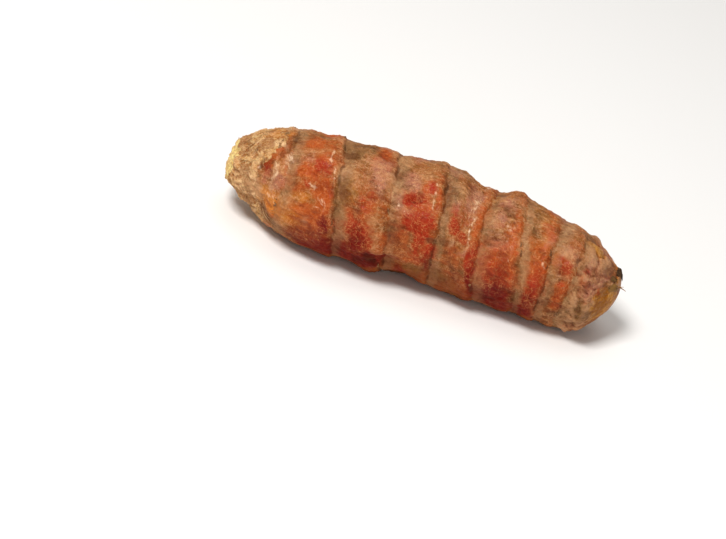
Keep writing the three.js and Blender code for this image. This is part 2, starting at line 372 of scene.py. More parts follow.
def lip(x, angle):
    """The dry skin's edge curls up on the near side, and a smooth trough lies beyond it: two bell curves."""
    past = x - crust_edge(angle)
    near = np.exp(-(turned_from(angle, LIP_DIRECTION) / LIP_SPREAD) ** 2)
    return near * sum(high * np.exp(-((past - at) / spread) ** 2) for high, at, spread in (LIP, TROUGH))


def plane_place(out, angle):
    """A point of a plane across the finger, at a distance out from its middle, as a place along and a
    direction on unrolled skin of 10 mm radius."""
    return PLANE_STATION + out * np.cos(angle), PLANE_TURN * out * np.sin(angle)


def closing(x):
    """Elliptical closing of the tip: 1 up to its rounding, and 0 at its end."""
    past = np.maximum(0, x - (LENGTH - TIP_ROUNDING)) / TIP_ROUNDING
    return np.sqrt(np.maximum(0, 1 - past * past))


def closed(texture, x, angle):
    """A texture of the unrolled skin, blended over the tip's end into the same texture of a plane across it,
    so that it does not crowd to a star there."""
    end = smoothstep(x, PLANE_FROM, PLANE_FULL)
    return (1 - end) * texture(x, angle) + end * texture(*plane_place(PLANE_RADIUS * closing(x), angle))


def pebbles(x, angle):
    """Small pebbles and wide dents, all over the skin."""
    return grains(PEBBLE_NOISE, x, angle)


def wrinkles(x, angle):
    """Lengthwise wrinkles of the damp skin, and its crumples, half as high in some patches as in others."""
    rough = 0.55 + 0.45 * np.clip(0.5 + 1.6 * grain(x, angle, 7.0, 10, 18), 0, 1)
    return grains(WRINKLE_NOISE, x, angle) + CRUMPLE_HEIGHT * rough * (crumple(x, angle) - CRUMPLE_MIDDLE)


def clefts(x, angle):
    """0 to 1 in the narrow clefts between the tip's knobs: the crumples of another stretch of skin."""
    return crumple(x + 9, angle)


def knobs(x, angle):
    """Knobs of the tip, and its clefts."""
    return grains(KNOB_NOISE, x, angle) - CLEFT_DEPTH * (clefts(x, angle) - CRUMPLE_MIDDLE)


def fine_relief(x, angle):
    """Wrinkles, pebbles, crumples and strands finer than the finger's form, in mm. The strands of the dry
    skin cross each other: they are noises sheared one way and the other."""
    dry, tip = crust(x, angle), smoothstep(x, KNOBS_FROM, KNOBS_FULL)
    texture = closed(pebbles, x, angle) + (1 - dry) * closed(wrinkles, x, angle)
    texture = texture + tip * closed(knobs, x, angle)
    strands = 0.35 * grain(x, angle + CRUST_SHEAR * x, 2.6, 56, 13)
    strands = strands + 0.25 * grain(x, angle + CRUST_CROSS_SHEAR * x, 1.5, 84, 14)
    strands = strands + 0.3 * grain(x, angle, 2.2, 24, 29)
    return texture + dry * (CRUST_HEIGHT + strands) + lip(x, angle)


def skin_relief(x, angle):
    """Lumps and wrinkles of the finger's form, and the finer relief on it."""
    base = 1 - smoothstep(x, TORN_RIM, BASE_WRINKLE_END)
    tip = smoothstep(x, TIP_WRINKLE_START, LENGTH)
    form = waves(LUMPS, x, angle) + base * waves(BASE_WRINKLES, x, angle)
    form = form + tip * waves(TIP_WRINKLES, x, angle)
    return form + fine_relief(x, angle) - FOLD_DEPTH * folds(x, angle)


def skin_radius(x, angle):
    """Distance of the skin from the middle line, with the tip's closing."""
    radius = smooth_through(1, x)
    place = x + slant(x, angle)
    relief = leaf_scar_relief(x, angle) + side_mark_relief(x, angle, radius) + skin_relief(x, angle)
    pinched = RIB_HEIGHT * ribs(x, angle, radius) + CRINKLE_HEIGHT * crinkles(x, angle, radius)
    return closing(x) * (radius + relief + pinched - bells(PITS, place, angle, radius))


# Ovals at more than this direction have a mirror image on the far side, moved by up to 1 mm and 12 degrees
FAR_SIDE_FROM = 108
MOVED_ALONG, MOVED_ROUND = 1, 12
RESIZED = (0.8, 1.3)
OVAL_SOFTNESS = 0.75


def scar_place(place, degrees):
    """Station that the slant carries to a place along the finger, in a direction round it, found in three
    rounds."""
    found = np.array(place, float)
    for _ in range(3):
        found = place - slant(found, np.radians(degrees))
    return found


def both_sides(listed, seed):
    """The near side's ovals by station, and mirror images of them on the far side, moved and resized."""
    rng = np.random.default_rng(seed)
    near = np.array(listed, float)
    near[:, 0] = scar_place(near[:, 0], near[:, 1])
    far = near[near[:, 1] > FAR_SIDE_FROM].copy()
    far[:, 0] += rng.uniform(-MOVED_ALONG, MOVED_ALONG, len(far))
    far[:, 1] = 180 - far[:, 1] + rng.uniform(-MOVED_ROUND, MOVED_ROUND, len(far))
    far[:, 2:4] *= rng.uniform(*RESIZED, (len(far), 1))
    return np.r_[near, far]


def bent_ovals(listed, x, angle, radius, bend):
    """The strongest of a list of ovals with soft edges, bent by noise so that none is round: bell curves of
    the distance from each oval's middle."""
    bent_x = x + bend * grains(BEND_ALONG, x, angle)
    bent_round = bend * grains(BEND_ROUND, x, angle)
    found = np.zeros_like(x)
    for station, at, long, wide, amount in listed:
        out = np.hypot((bent_x - station) / long, (radius * turned_from(angle, at) + bent_round) / wide)
        found = np.maximum(found, amount * np.exp(-OVAL_SOFTNESS * out ** 2))
    return found


rib_ovals = both_sides(np.c_[RIBS, np.ones(len(RIBS))], 4)
crinkled_ovals = both_sides(CRINKLED, 5)


def ribs(x, angle, radius):
    """0 to 1 along the crooked little ribs, which noise breaks up."""
    broken = np.clip(0.6 + 1.8 * grain(x, angle, 0.8, 80, 28), 0, 1)
    return broken * bent_ovals(rib_ovals, x, angle, radius, RIB_BEND)


def crinkles(x, angle, radius):
    """0 to 1 along the creases of the crinkled patches."""
    return creases(x, angle) * bent_ovals(crinkled_ovals, x, angle, radius, CRINKLE_BEND)


def broken_fibres(angle, share):
    """Depth of the broken fibre ends on the torn face, in mm: noise in its plane."""
    return grains(FIBRE_END_NOISE, *plane_place(OUTLINE[0, 1] * share, angle))


def torn_face(angle, share):
    """Set-back of the torn face: tilted as a whole, domed, and broken into fibres."""
    tilt = TORN_TILT * np.cos(angle - NEAR)
    coarse = share * tilt + share ** 3 * waves(TORN_FIBRES, 0, angle) - TORN_DOME * (1 - share * share)
    return coarse + broken_fibres(angle, share)


def skin_points(x, angle, share=1.0, lift=0.0):
    """Points in metres at a share of the skin's radius, or lifted from it. What would lie lower than the flat
    belly is raised to it."""
    rim = 1 - smoothstep(x, TORN_RIM, TORN_EDGE_END)
    shift = np.where(share < 1, torn_face(angle, share), slant(x, angle) + rim * torn_face(angle, 1.0))
    radius = share * skin_radius(x, angle) + lift
    side = smooth_through(2, x) + radius * np.cos(angle)
    height = smooth_through(3, x) + radius * np.sin(angle)
    return np.stack([x + shift, side, np.maximum(height - REST_DEPTH, 0)], -1) * MM


ROUND = 250                     # steps round the finger
STEP = 0.24                     # length of a step along it, in mm
face_shares = np.linspace(0, 1, 15)[1:-1]
body_steps = int((LENGTH - TIP_ROUNDING - TORN_RIM) / STEP)
tip_steps = int(np.pi / 2 * TIP_ROUNDING / STEP)
body_rows = np.linspace(TORN_RIM, LENGTH - TIP_ROUNDING, body_steps, endpoint=False)
tip_rows = LENGTH - TIP_ROUNDING * (1 - np.sin(np.linspace(0, np.pi / 2, tip_steps, endpoint=False)))
skin_rows = np.r_[body_rows, tip_rows]
angles = np.linspace(0, 2 * np.pi, ROUND, endpoint=False)

face_share, face_angle = np.meshgrid(face_shares, angles, indexing="ij")
skin_x, skin_angle = np.meshgrid(skin_rows, angles, indexing="ij")
station = np.r_[TORN_RIM, np.full(face_share.size, TORN_RIM), skin_x.ravel(), LENGTH]
direction = np.r_[0.0, face_angle.ravel(), skin_angle.ravel(), 0.0]
radius_share = np.r_[0.0, face_share.ravel(), np.ones(skin_x.size), 1.0]
points = skin_points(station, direction, radius_share)

# The part's own origin is under the middle of its box
low, high = points.min(0), points.max(0)
cad_low, cad_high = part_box(NODE)
to_middle = np.array([(cad_low[k] + cad_high[k] - low[k] - high[k]) / 2 for k in (0, 1)] + [0.0])
points = points + to_middle


def tube_faces(corner, first, last):
    """Faces of a closed tube, from the numbers of its rings' points and of the point at each end: a fan of
    triangles at each end, and quads between the rings."""
    beside = np.roll(corner, -1, axis=1)
    quads = np.stack([corner[:-1], beside[:-1], beside[1:], corner[1:]], -1).reshape(-1, 4)
    first_fan = np.stack([np.full_like(beside[0], first), beside[0], corner[0]], -1)
    last_fan = np.stack([np.full_like(beside[0], last), corner[-1], beside[-1]], -1)
    return first_fan, last_fan, quads


rows = len(face_shares) + len(skin_rows)
corner = 1 + np.arange(rows * ROUND).reshape(rows, ROUND)
mesh = bpy.data.meshes.new("turmeric_skin")
mesh.from_pydata(points.tolist(), [], [
    face for kind in tube_faces(corner, 0, len(points) - 1) for face in kind.tolist()])
mesh.shade_smooth()

# Colours of the skin, as ovals on the near side: place along, direction, half length, half width, amount.
# They were placed one by one. The far side has their mirror images, moved a little.
STAINS = {
    "orange": [
        (18.3, 98, 2.6, 1.8, 0.9), (21.4, 102, 1.2, 2.6, 0.6), (21.0, 118, 2.0, 1.8, 0.8),
        (18.6, 135, 2.2, 1.8, 0.9), (22.6, 150, 2.0, 2.8, 1.1), (23.8, 166, 1.4, 3.0, 1.1),
        (21.4, 180, 3.0, 2.4, 1.1), (22.6, 190, 1.8, 2.6, 0.9), (10.4, 128, 1.6, 1.8, 0.6),
        (9.4, 141, 1.4, 2.4, 0.8), (31.6, 90, 1.4, 2.6, 0.8), (32.4, 150, 2.2, 2.4, 0.6),
        (31.0, 166, 2.4, 2.6, 0.6), (42.6, 122, 1.0, 2.4, 0.8), (43.0, 143, 2.0, 1.6, 0.7),
        (45.6, 132, 0.8, 3.6, 0.7), (42.4, 190, 2.6, 2.0, 0.6), (39.6, 180, 2.6, 3.0, 0.7),
        (51.8, 182, 2.6, 3.4, 0.7), (54.6, 118, 0.9, 4.0, 0.5), (54.9, 148, 0.9, 4.0, 0.6),
        (51.8, 128, 1.4, 2.4, 0.2), (62.3, 130, 0.9, 2.6, 0.65), (62.7, 150, 1.0, 2.6, 0.7),
        (60.8, 172, 3.4, 5.0, 0.8), (68.6, 112, 1.6, 3.8, 0.5), (68.4, 138, 2.2, 3.0, 0.65),
        (68.6, 160, 2.4, 3.0, 1.0), (72.6, 136, 0.9, 2.2, 0.6), (77.6, 148, 0.7, 1.6, 0.6),
        (74.6, 166, 1.6, 2.0, 0.6), (74.2, 183, 1.6, 2.2, 0.7), (22.0, 200, 2.4, 2.0, 0.8),
        (13.2, 190, 2.0, 2.4, 0.7), (16.0, 150, 2.0, 2.0, 0.6), (38.6, 158, 1.8, 2.2, 0.5),
    ],
    "red": [
        (20.8, 126, 1.5, 1.6, 1.0), (19.0, 149, 1.0, 1.0, 0.7), (8.8, 152, 1.0, 1.4, 0.6),
        (31.6, 180, 3.2, 3.6, 0.75), (31.2, 152, 1.8, 2.2, 0.5), (40.8, 135, 1.6, 1.4, 1.3),
        (43.0, 118, 0.9, 1.6, 0.8), (43.2, 158, 2.2, 2.2, 1.5), (44.0, 172, 1.2, 1.8, 1.0),
        (47.0, 176, 1.2, 1.8, 1.0), (50.2, 148, 1.6, 1.4, 1.5), (52.4, 150, 1.4, 1.2, 0.7),
        (55.0, 165, 1.0, 2.4, 0.9), (56.0, 180, 0.9, 2.0, 0.9), (73.8, 144, 1.2, 1.6, 0.7),
        (74.2, 163, 0.5, 0.6, 0.8), (33.0, 187, 2.2, 2.2, 1.3), (78.4, 134, 0.9, 0.6, 0.9),
        (81.8, 150, 0.4, 1.2, 0.7), (50.0, 135, 1.8, 1.6, 0.5), (61.2, 181, 3.2, 3.8, 0.5),
        (69.0, 180, 2.4, 4.0, 0.8), (44.6, 182, 1.8, 2.4, 0.7), (58.2, 168, 0.8, 2.0, 0.7),
        (45.6, 188, 2.2, 1.2, 0.6), (27.8, 178, 1.8, 2.6, 0.5),
    ],
    # Deep red: the skin's own dark red and the bud's, and in part painted shade on the lower side
    "deep": [
        (24.8, 186, 0.9, 2.8, 0.9), (32.0, 190, 2.4, 2.0, 1.1), (29.2, 208, 3.0, 3.0, 1.2),
        (35.2, 206, 3.0, 1.8, 1.7), (25.4, 206, 1.8, 2.4, 0.9), (19.0, 216, 2.4, 1.8, 0.7),
        (56.4, 194, 1.1, 2.0, 1.1), (62.0, 197, 3.2, 2.4, 0.8), (62.0, 204, 3.4, 2.4, 1.1),
        (68.6, 194, 2.4, 2.6, 0.9), (69.0, 210, 2.4, 2.4, 1.1), (42.0, 214, 1.6, 2.0, 0.7),
        (47.2, 192, 0.9, 2.4, 0.8), (75.6, 188, 0.7, 1.6, 0.5), (38.6, 200, 2.6, 1.2, 0.9),
        (58.4, 204, 2.4, 2.4, 0.8), (28.0, 217, 4.0, 2.4, 1.3), (33.4, 219, 3.0, 2.0, 1.4),
        (22.0, 219, 3.0, 2.0, 0.9), (19.0, 208, 3.0, 1.0, 0.5), (62.0, 214, 4.0, 3.4, 1.2),
        (67.4, 216, 3.0, 2.6, 1.3), (56.8, 200, 0.9, 1.6, 1.2),
    ],
    # Pink: a pink-grey film on the skin, and in part a painted sheen on the upper side
    "pink": [
        (32.4, 114, 2.2, 3.2, 1.0), (33.6, 132, 1.4, 2.0, 0.8), (39.0, 116, 1.8, 2.4, 0.8),
        (38.2, 140, 1.0, 2.6, 0.9), (40.6, 152, 1.6, 1.0, 0.9), (52.0, 108, 1.8, 3.8, 1.0),
        (59.2, 97, 2.4, 2.8, 0.6), (46.4, 84, 2.0, 2.6, 0.6), (69.0, 118, 1.4, 2.4, 0.7),
        (49.8, 128, 1.4, 2.0, 0.6), (57.8, 122, 1.2, 2.4, 0.7), (59.2, 148, 2.0, 1.8, 0.8),
        (73.6, 110, 2.2, 3.0, 0.2), (74.4, 128, 1.6, 2.2, 0.5), (78.8, 124, 1.4, 2.4, 0.8),
        (79.6, 152, 1.6, 2.6, 0.8), (82.0, 124, 1.4, 2.4, 0.8), (82.0, 140, 1.2, 2.0, 0.8),
        (17.6, 120, 2.0, 1.6, 0.6), (13.2, 162, 1.0, 2.0, 0.9), (10.0, 158, 1.2, 1.6, 0.6),
        (53.4, 165, 0.7, 1.4, 0.6),
    ],
    # Pale: flaky pale skin, in part painted highlights where the crinkled patches shine, and painted light on
    # the dry skin's shaded lower side
    "pale": [
        (10.6, 116, 1.6, 0.9, 0.9), (13.8, 126, 0.9, 1.8, 1.0), (12.2, 152, 0.7, 2.2, 0.9),
        (12.6, 173, 1.0, 1.4, 0.8), (7.2, 187, 2.8, 2.6, 1.5), (15.2, 128, 0.4, 1.2, 0.8),
        (25.4, 128, 0.8, 1.6, 0.6), (35.6, 118, 0.8, 3.4, 0.7), (36.8, 128, 0.5, 2.6, 0.8),
        (72.0, 97, 0.9, 2.6, 0.8), (73.2, 128, 0.9, 1.2, 0.8), (73.0, 154, 0.9, 1.2, 0.5),
        (77.4, 118, 0.7, 2.4, 0.4), (81.4, 108, 1.4, 2.2, 0.6), (50.8, 166, 0.8, 1.4, 0.7),
        (52.6, 108, 0.7, 1.6, 0.7), (48.8, 110, 1.4, 1.6, 0.4), (20.4, 188, 1.2, 1.6, 0.5),
        (81.0, 172, 0.8, 1.2, 0.6), (59.6, 136, 0.8, 0.8, 0.5),
    ],
    "olive": [
        (24.9, 93, 1.3, 3.4, 1.8), (26.2, 92, 2.0, 3.4, 1.6), (27.6, 84, 2.6, 3.2, 0.9),
        (27.0, 140, 2.0, 3.4, 1.2), (26.6, 160, 1.3, 3.0, 1.0), (37.4, 168, 1.8, 2.0, 0.7),
        (44.6, 206, 3.0, 2.0, 0.8), (50.6, 206, 3.4, 2.4, 0.9), (41.6, 174, 1.2, 2.6, 0.8),
        (43.6, 80, 1.2, 4.0, 0.6), (46.2, 92, 1.4, 2.4, 0.6), (48.2, 116, 1.6, 3.0, 0.7),
        (48.8, 172, 1.6, 3.4, 0.8), (49.6, 190, 1.6, 2.0, 0.5), (54.4, 184, 0.9, 1.6, 0.8),
        (59.6, 110, 1.6, 1.6, 0.6), (58.4, 186, 1.8, 2.0, 0.5), (65.6, 116, 1.4, 1.6, 0.9),
        (66.4, 88, 2.0, 2.6, 0.8), (65.6, 98, 1.4, 2.0, 0.8), (65.2, 165, 0.9, 3.6, 0.8),
        (66.0, 190, 1.2, 3.0, 0.8), (71.8, 180, 1.0, 3.0, 0.8), (71.6, 116, 0.8, 2.4, 0.6),
        (76.8, 95, 0.6, 2.4, 0.8), (79.6, 186, 2.2, 3.0, 1.2), (73.6, 198, 2.2, 2.4, 0.5),
        (78.6, 200, 2.2, 2.4, 0.7), (13.2, 98, 0.8, 2.6, 0.8), (4.4, 104, 1.8, 2.4, 0.6),
        (17.6, 160, 1.4, 1.2, 0.4), (41.0, 128, 0.9, 0.9, 0.6),
    ],
    "brown": [
        (25.0, 88, 1.0, 2.4, 1.0), (26.2, 94, 1.6, 2.6, 0.4), (35.4, 207, 1.6, 0.8, 0.5),
        (78.6, 202, 3.2, 1.8, 1.1), (79.0, 190, 2.8, 2.2, 1.0), (82.6, 204, 2.0, 2.0, 0.8),
        (74.8, 205, 1.4, 1.6, 0.7), (12.0, 212, 2.6, 1.4, 1.0), (8.8, 204, 1.6, 1.2, 0.6),
        (73.6, 150, 1.0, 1.6, 0.6), (15.8, 148, 0.9, 1.4, 0.6), (50.6, 178, 1.4, 1.2, 0.6),
        (66.0, 200, 1.2, 2.0, 0.7), (41.6, 134, 0.8, 0.8, 0.5), (27.0, 172, 1.2, 1.0, 0.5),
        (40.0, 184, 2.0, 1.4, 0.5), (51.4, 184, 2.4, 1.6, 0.7), (26.8, 136, 1.4, 3.0, 0.4),
        (65.4, 98, 1.2, 2.4, 0.7), (44.2, 202, 2.0, 1.4, 0.6), (59.4, 140, 1.4, 1.0, 0.6),
        (30.6, 160, 1.0, 1.8, 0.6), (47.6, 150, 0.8, 1.6, 0.6), (56.9, 100, 0.6, 1.6, 0.5),
        (47.4, 98, 0.7, 1.6, 0.5),
    ],
    "ochre": [
        (9.4, 92, 2.0, 3.0, 0.9), (12.2, 187, 2.6, 2.6, 1.7), (7.0, 190, 2.0, 2.2, 0.7),
        (16.6, 190, 2.8, 2.2, 0.9), (18.8, 164, 1.6, 1.4, 0.7), (66.2, 98, 2.0, 3.4, 0.5),
        (79.0, 92, 1.8, 2.4, 0.8), (83.6, 172, 1.8, 4.4, 1.5), (83.6, 196, 1.6, 3.0, 1.1),
        (72.2, 140, 0.8, 2.0, 0.6), (27.6, 142, 1.8, 2.8, 0.6), (59.0, 146, 2.0, 2.0, 0.4),
        (68.5, 123, 1.4, 2.4, 0.5), (43.4, 204, 2.0, 1.6, 0.7), (7.6, 206, 2.0, 2.0, 0.6),
        (57.4, 88, 2.2, 2.4, 0.4), (84.6, 110, 1.0, 3.0, 0.6),
    ],
}
STAIN_BEND = 1.0
# Strength of the painted shade in the pits
PIT_DARKNESS = 2.2
RIB_SHINE = 0.75                # against that of the crinkles, in the shine and the painted highlight
DRY_STANDS_OUT = 0.3            # taken off the relief of the dry skin before it paints highlights and shade on the skin
BEFORE_ANY_SCAR = -5.0
ovals = {name: both_sides(listed, 10 + order) for order, (name, listed) in enumerate(STAINS.items())}
radius = smooth_through(1, station)
on_face = radius_share < 1
place = station + slant(station, direction)
dry_skin = crust(station, direction)
# The fine relief paints highlights on its crests and shade in its hollows; the folds and pits are painted
# with shade, and the ribs and crinkles with highlights
relief = fine_relief(station, direction) - DRY_STANDS_OUT * dry_skin
fold_and_pit_shade = folds(station, direction) + PIT_DARKNESS * bells(PITS, place, direction, radius)
pinched = np.maximum(RIB_SHINE * ribs(station, direction, radius), crinkles(station, direction, radius))
traits = {
    "past_scar": np.where(on_face, BEFORE_ANY_SCAR, past_scar(station, direction)),
    "station": station,
    "fine": np.where(on_face, -broken_fibres(direction, radius_share), relief),
    "cleft_shade": smoothstep(station, 75, 78) * closed(clefts, station, direction),
    "crust": dry_skin,
    "hollow": np.clip(fold_and_pit_shade, 0, 1),
    "rib": pinched,
    "torn": on_face * 1.0,
}
for name, listed in ovals.items():
    traits[name] = bent_ovals(listed, station, direction, radius, STAIN_BEND)
for trait, values in traits.items():
    mesh.attributes.new(trait, "FLOAT", "POINT").data.foreach_set("value", values.astype(np.float32))


def srgb(text):
    """Linear colour of an sRGB hex value."""
    part = np.array([int(text[k:k + 2], 16) for k in (1, 3, 5)]) / 255
    linear = np.where(part <= 0.04045, part / 12.92, ((part + 0.055) / 1.055) ** 2.4)
    return (*linear.tolist(), 1.0)


def add(tree, kind, inputs=(), **settings):
    """Adds a node, sets its settings, and gives each listed input its value or links it."""
    made = tree.nodes.new(kind)
    for setting, value in settings.items():
        setattr(made, setting, value)
    for socket, value in dict(inputs).items():
        if isinstance(value, bpy.types.NodeSocket):
            tree.links.new(value, made.inputs[socket])
        else:
            made.inputs[socket].default_value = value
    return made


def empty_material(name):
    """A new material with no nodes yet, and its node tree."""
    made = bpy.data.materials.new(name)
    made.use_nodes = True
    made.node_tree.nodes.clear()
    return made, made.node_tree


# Fresh turmeric skin: thin, damp and slightly see-through, so it shines softly where it is rubbed bare and
# orange, and is matt and tan where it is dry. Streaks run lengthwise. Its colour also holds painted shade in
# the folds, pits, clefts and hollows and on the lower side, and painted highlights on the crests, ribs,
# crinkles and wrinkles. The scale of each noise is one over the size of its blobs in metres.
skin, tree = empty_material("fresh_turmeric_skin")
object_place = add(tree, "ShaderNodeTexCoord").outputs["Object"]

# Noises from 0 to 1: size of the blobs in mm, how far they are drawn out, turn in degrees from the finger's
# length about the near side's outward direction, and levels of finer detail
NOISES = {
    "broad": (7.0, 1.0, 0, 4),
    "middling": (2.6, 1.0, 0, 4),
    "fine": (0.9, 1.0, 0, 4),
    "grainy": (0.4, 1.0, 0, 4),
    "streaks": (0.9, 3.5, 12, 4),
    "hairs": (0.45, 4.0, -8, 4),
    "strands": (0.42, 7.0, 38, 4),
    "cross_strands": (0.42, 6.0, -48, 4),
    "rings": (0.6, 4.0, 80, 4),
    "wrinkles": (1.5, 1.8, 68, 2),
    "creases": (1.1, 2.4, -28, 2),
    "fibrils": (0.8, 3.0, 15, 2),
}
noise = {}
for order, (name, (size, stretch, turn, detail)) in enumerate(NOISES.items()):
    turned = add(tree, "ShaderNodeVectorRotate", {"Vector": object_place, "Angle": np.radians(turn)},
                 rotation_type="Y_AXIS").outputs[0]
    drawn_out = add(tree, "ShaderNodeMapping", {"Vector": turned, "Location": (0.1 * order, 0.07 * order, 0),
                                                "Scale": (1 / stretch, 1, 1)}).outputs[0]
    noise[name] = add(tree, "ShaderNodeTexNoise", {
        "Vector": drawn_out, "Scale": 1 / (size * MM), "Detail": detail, "Roughness": 0.55}).outputs[0]

# Three of them are folded at their middle into thin crooked lines, sharp along their tops: 0.5 on a line
for name in ("wrinkles", "creases", "fibrils"):
    noise[name] = add(tree, "ShaderNodeMath", {0: noise[name], 1: 0.5}, operation="PINGPONG").outputs[0]

# A net of fine cracks in the dull skin, and a net of fibres drawn out along the strands, both made wavy. Each
# gives the distance to its nearest line: size of a mesh in mm, how far it is drawn out, and turn in degrees.
NET_WAVE_LENGTH, NET_WAVE = 1.6, 1.2
NETS = {
    "cracks": (1.5, 1.4, 75),
    "fibres": (0.8, 6.0, 38),
}
for name, (size, stretch, turn) in NETS.items():
    wavy = add(tree, "ShaderNodeTexNoise", {
        "Vector": object_place, "Scale": 1 / (NET_WAVE_LENGTH * MM), "Detail": 2}).outputs[1]
    moved = add(tree, "ShaderNodeVectorMath", {0: wavy, 1: (NET_WAVE * MM,) * 3, 2: object_place},
                operation="MULTIPLY_ADD").outputs[0]
    turned = add(tree, "ShaderNodeVectorRotate", {"Vector": moved, "Angle": np.radians(turn)},
                 rotation_type="Y_AXIS").outputs[0]
    drawn_out = add(tree, "ShaderNodeMapping", {"Vector": turned, "Scale": (1 / stretch, 1, 1)}).outputs[0]
    noise[name] = add(tree, "ShaderNodeTexVoronoi", {"Vector": drawn_out, "Scale": 1 / (size * MM)},
                      feature="DISTANCE_TO_EDGE").outputs["Distance"]

trait = {name: add(tree, "ShaderNodeAttribute", attribute_name=name).outputs["Fac"] for name in traits}
height_above_floor = add(tree, "ShaderNodeSeparateXYZ", {0: object_place}).outputs[2]

# Traits with noise added, so that their edges break up: trait, noise, amount of noise
BROKEN = {
    "low": (height_above_floor, "middling", 5 * MM),
    "past": (trait["past_scar"], "fine", 0.6),
    "past_widely": (trait["past_scar"], "middling", 3.0),
    "along": (trait["station"], "middling", 3.0),
    "orange": (trait["orange"], "streaks", 1.1),
    "red": (trait["red"], "fine", 1.0),
    "deep": (trait["deep"], "middling", 0.7),
    "pink": (trait["pink"], "fine", 0.8),
    "pale": (trait["pale"], "streaks", 1.2),
    "olive": (trait["olive"], "middling", 0.8),
    "ochre": (trait["ochre"], "middling", 0.8),
    "brown": (trait["brown"], "middling", 0.9),
    "rib": (trait["rib"], "fine", 0.7),
    "hollow": (trait["hollow"], "fine", 1.0),
}
for name, (smooth_trait, rough, amount) in BROKEN.items():
    noise[name] = add(tree, "ShaderNodeMath", {0: noise[rough], 1: amount, 2: smooth_trait},
                      operation="MULTIPLY_ADD").outputs[0]

# Shares of the surface from 0 to 1: what they follow, where they start and where they are full
SHARES = {
    "low": ("low", 15.5 * MM, 7.5 * MM),
    "past_base": ("along", 14.5, 21.5),
    "before_tip": ("along", 77.5, 70.0),
    "after_scar": ("past", 0.5, 0.9),
    "near_scar": ("past_widely", 4.6, 3.2),
    "before_scar": ("past", -2.2, -0.8),
    "not_after": ("past", 0.7, 0.4),
    "tip": ("along", 77.0, 80.0),
    "dry": (trait["crust"], 0.3, 0.7),
    "torn": (trait["torn"], 0.0, 1.0),
    "orange": ("orange", 0.55, 1.15),
    "red": ("red", 0.55, 1.15),
    "deep": ("deep", 0.55, 1.1),
    "rib": ("rib", 0.55, 1.0),
}
share = {}
for name, (follows, starts, full) in SHARES.items():
    source = noise[follows] if isinstance(follows, str) else follows
    share[name] = add(tree, "ShaderNodeMapRange", {"Value": source, "From Min": starts, "From Max": full},
                      interpolation_type="SMOOTHSTEP").outputs[0]
COMBINED = [
    ("low", "MULTIPLY", "low", "past_base"),
    ("low", "MULTIPLY", "low", "before_tip"),
    ("band", "MULTIPLY", "after_scar", "near_scar"),
    ("ridge", "MULTIPLY", "before_scar", "not_after"),
    ("rubbed", "MAXIMUM", "orange", "red"),
    ("bare", "MAXIMUM", "rubbed", "deep"),
    # The lower side, darkened with painted shade, counts with the bare skin
    ("bare", "MAXIMUM", "bare", "low"),
]
for name, operation, one, other in COMBINED:
    share[name] = add(tree, "ShaderNodeMath", {0: share[one], 1: share[other]},
                      operation=operation).outputs[0]
BARE_HIDES = 0.92               # how much of the dull skin's flecks the bare skin and the painted shade of the lower side hide
share["dull"] = add(tree, "ShaderNodeMath", {0: share["bare"], 1: -BARE_HIDES, 2: 1.0},
                    operation="MULTIPLY_ADD").outputs[0]

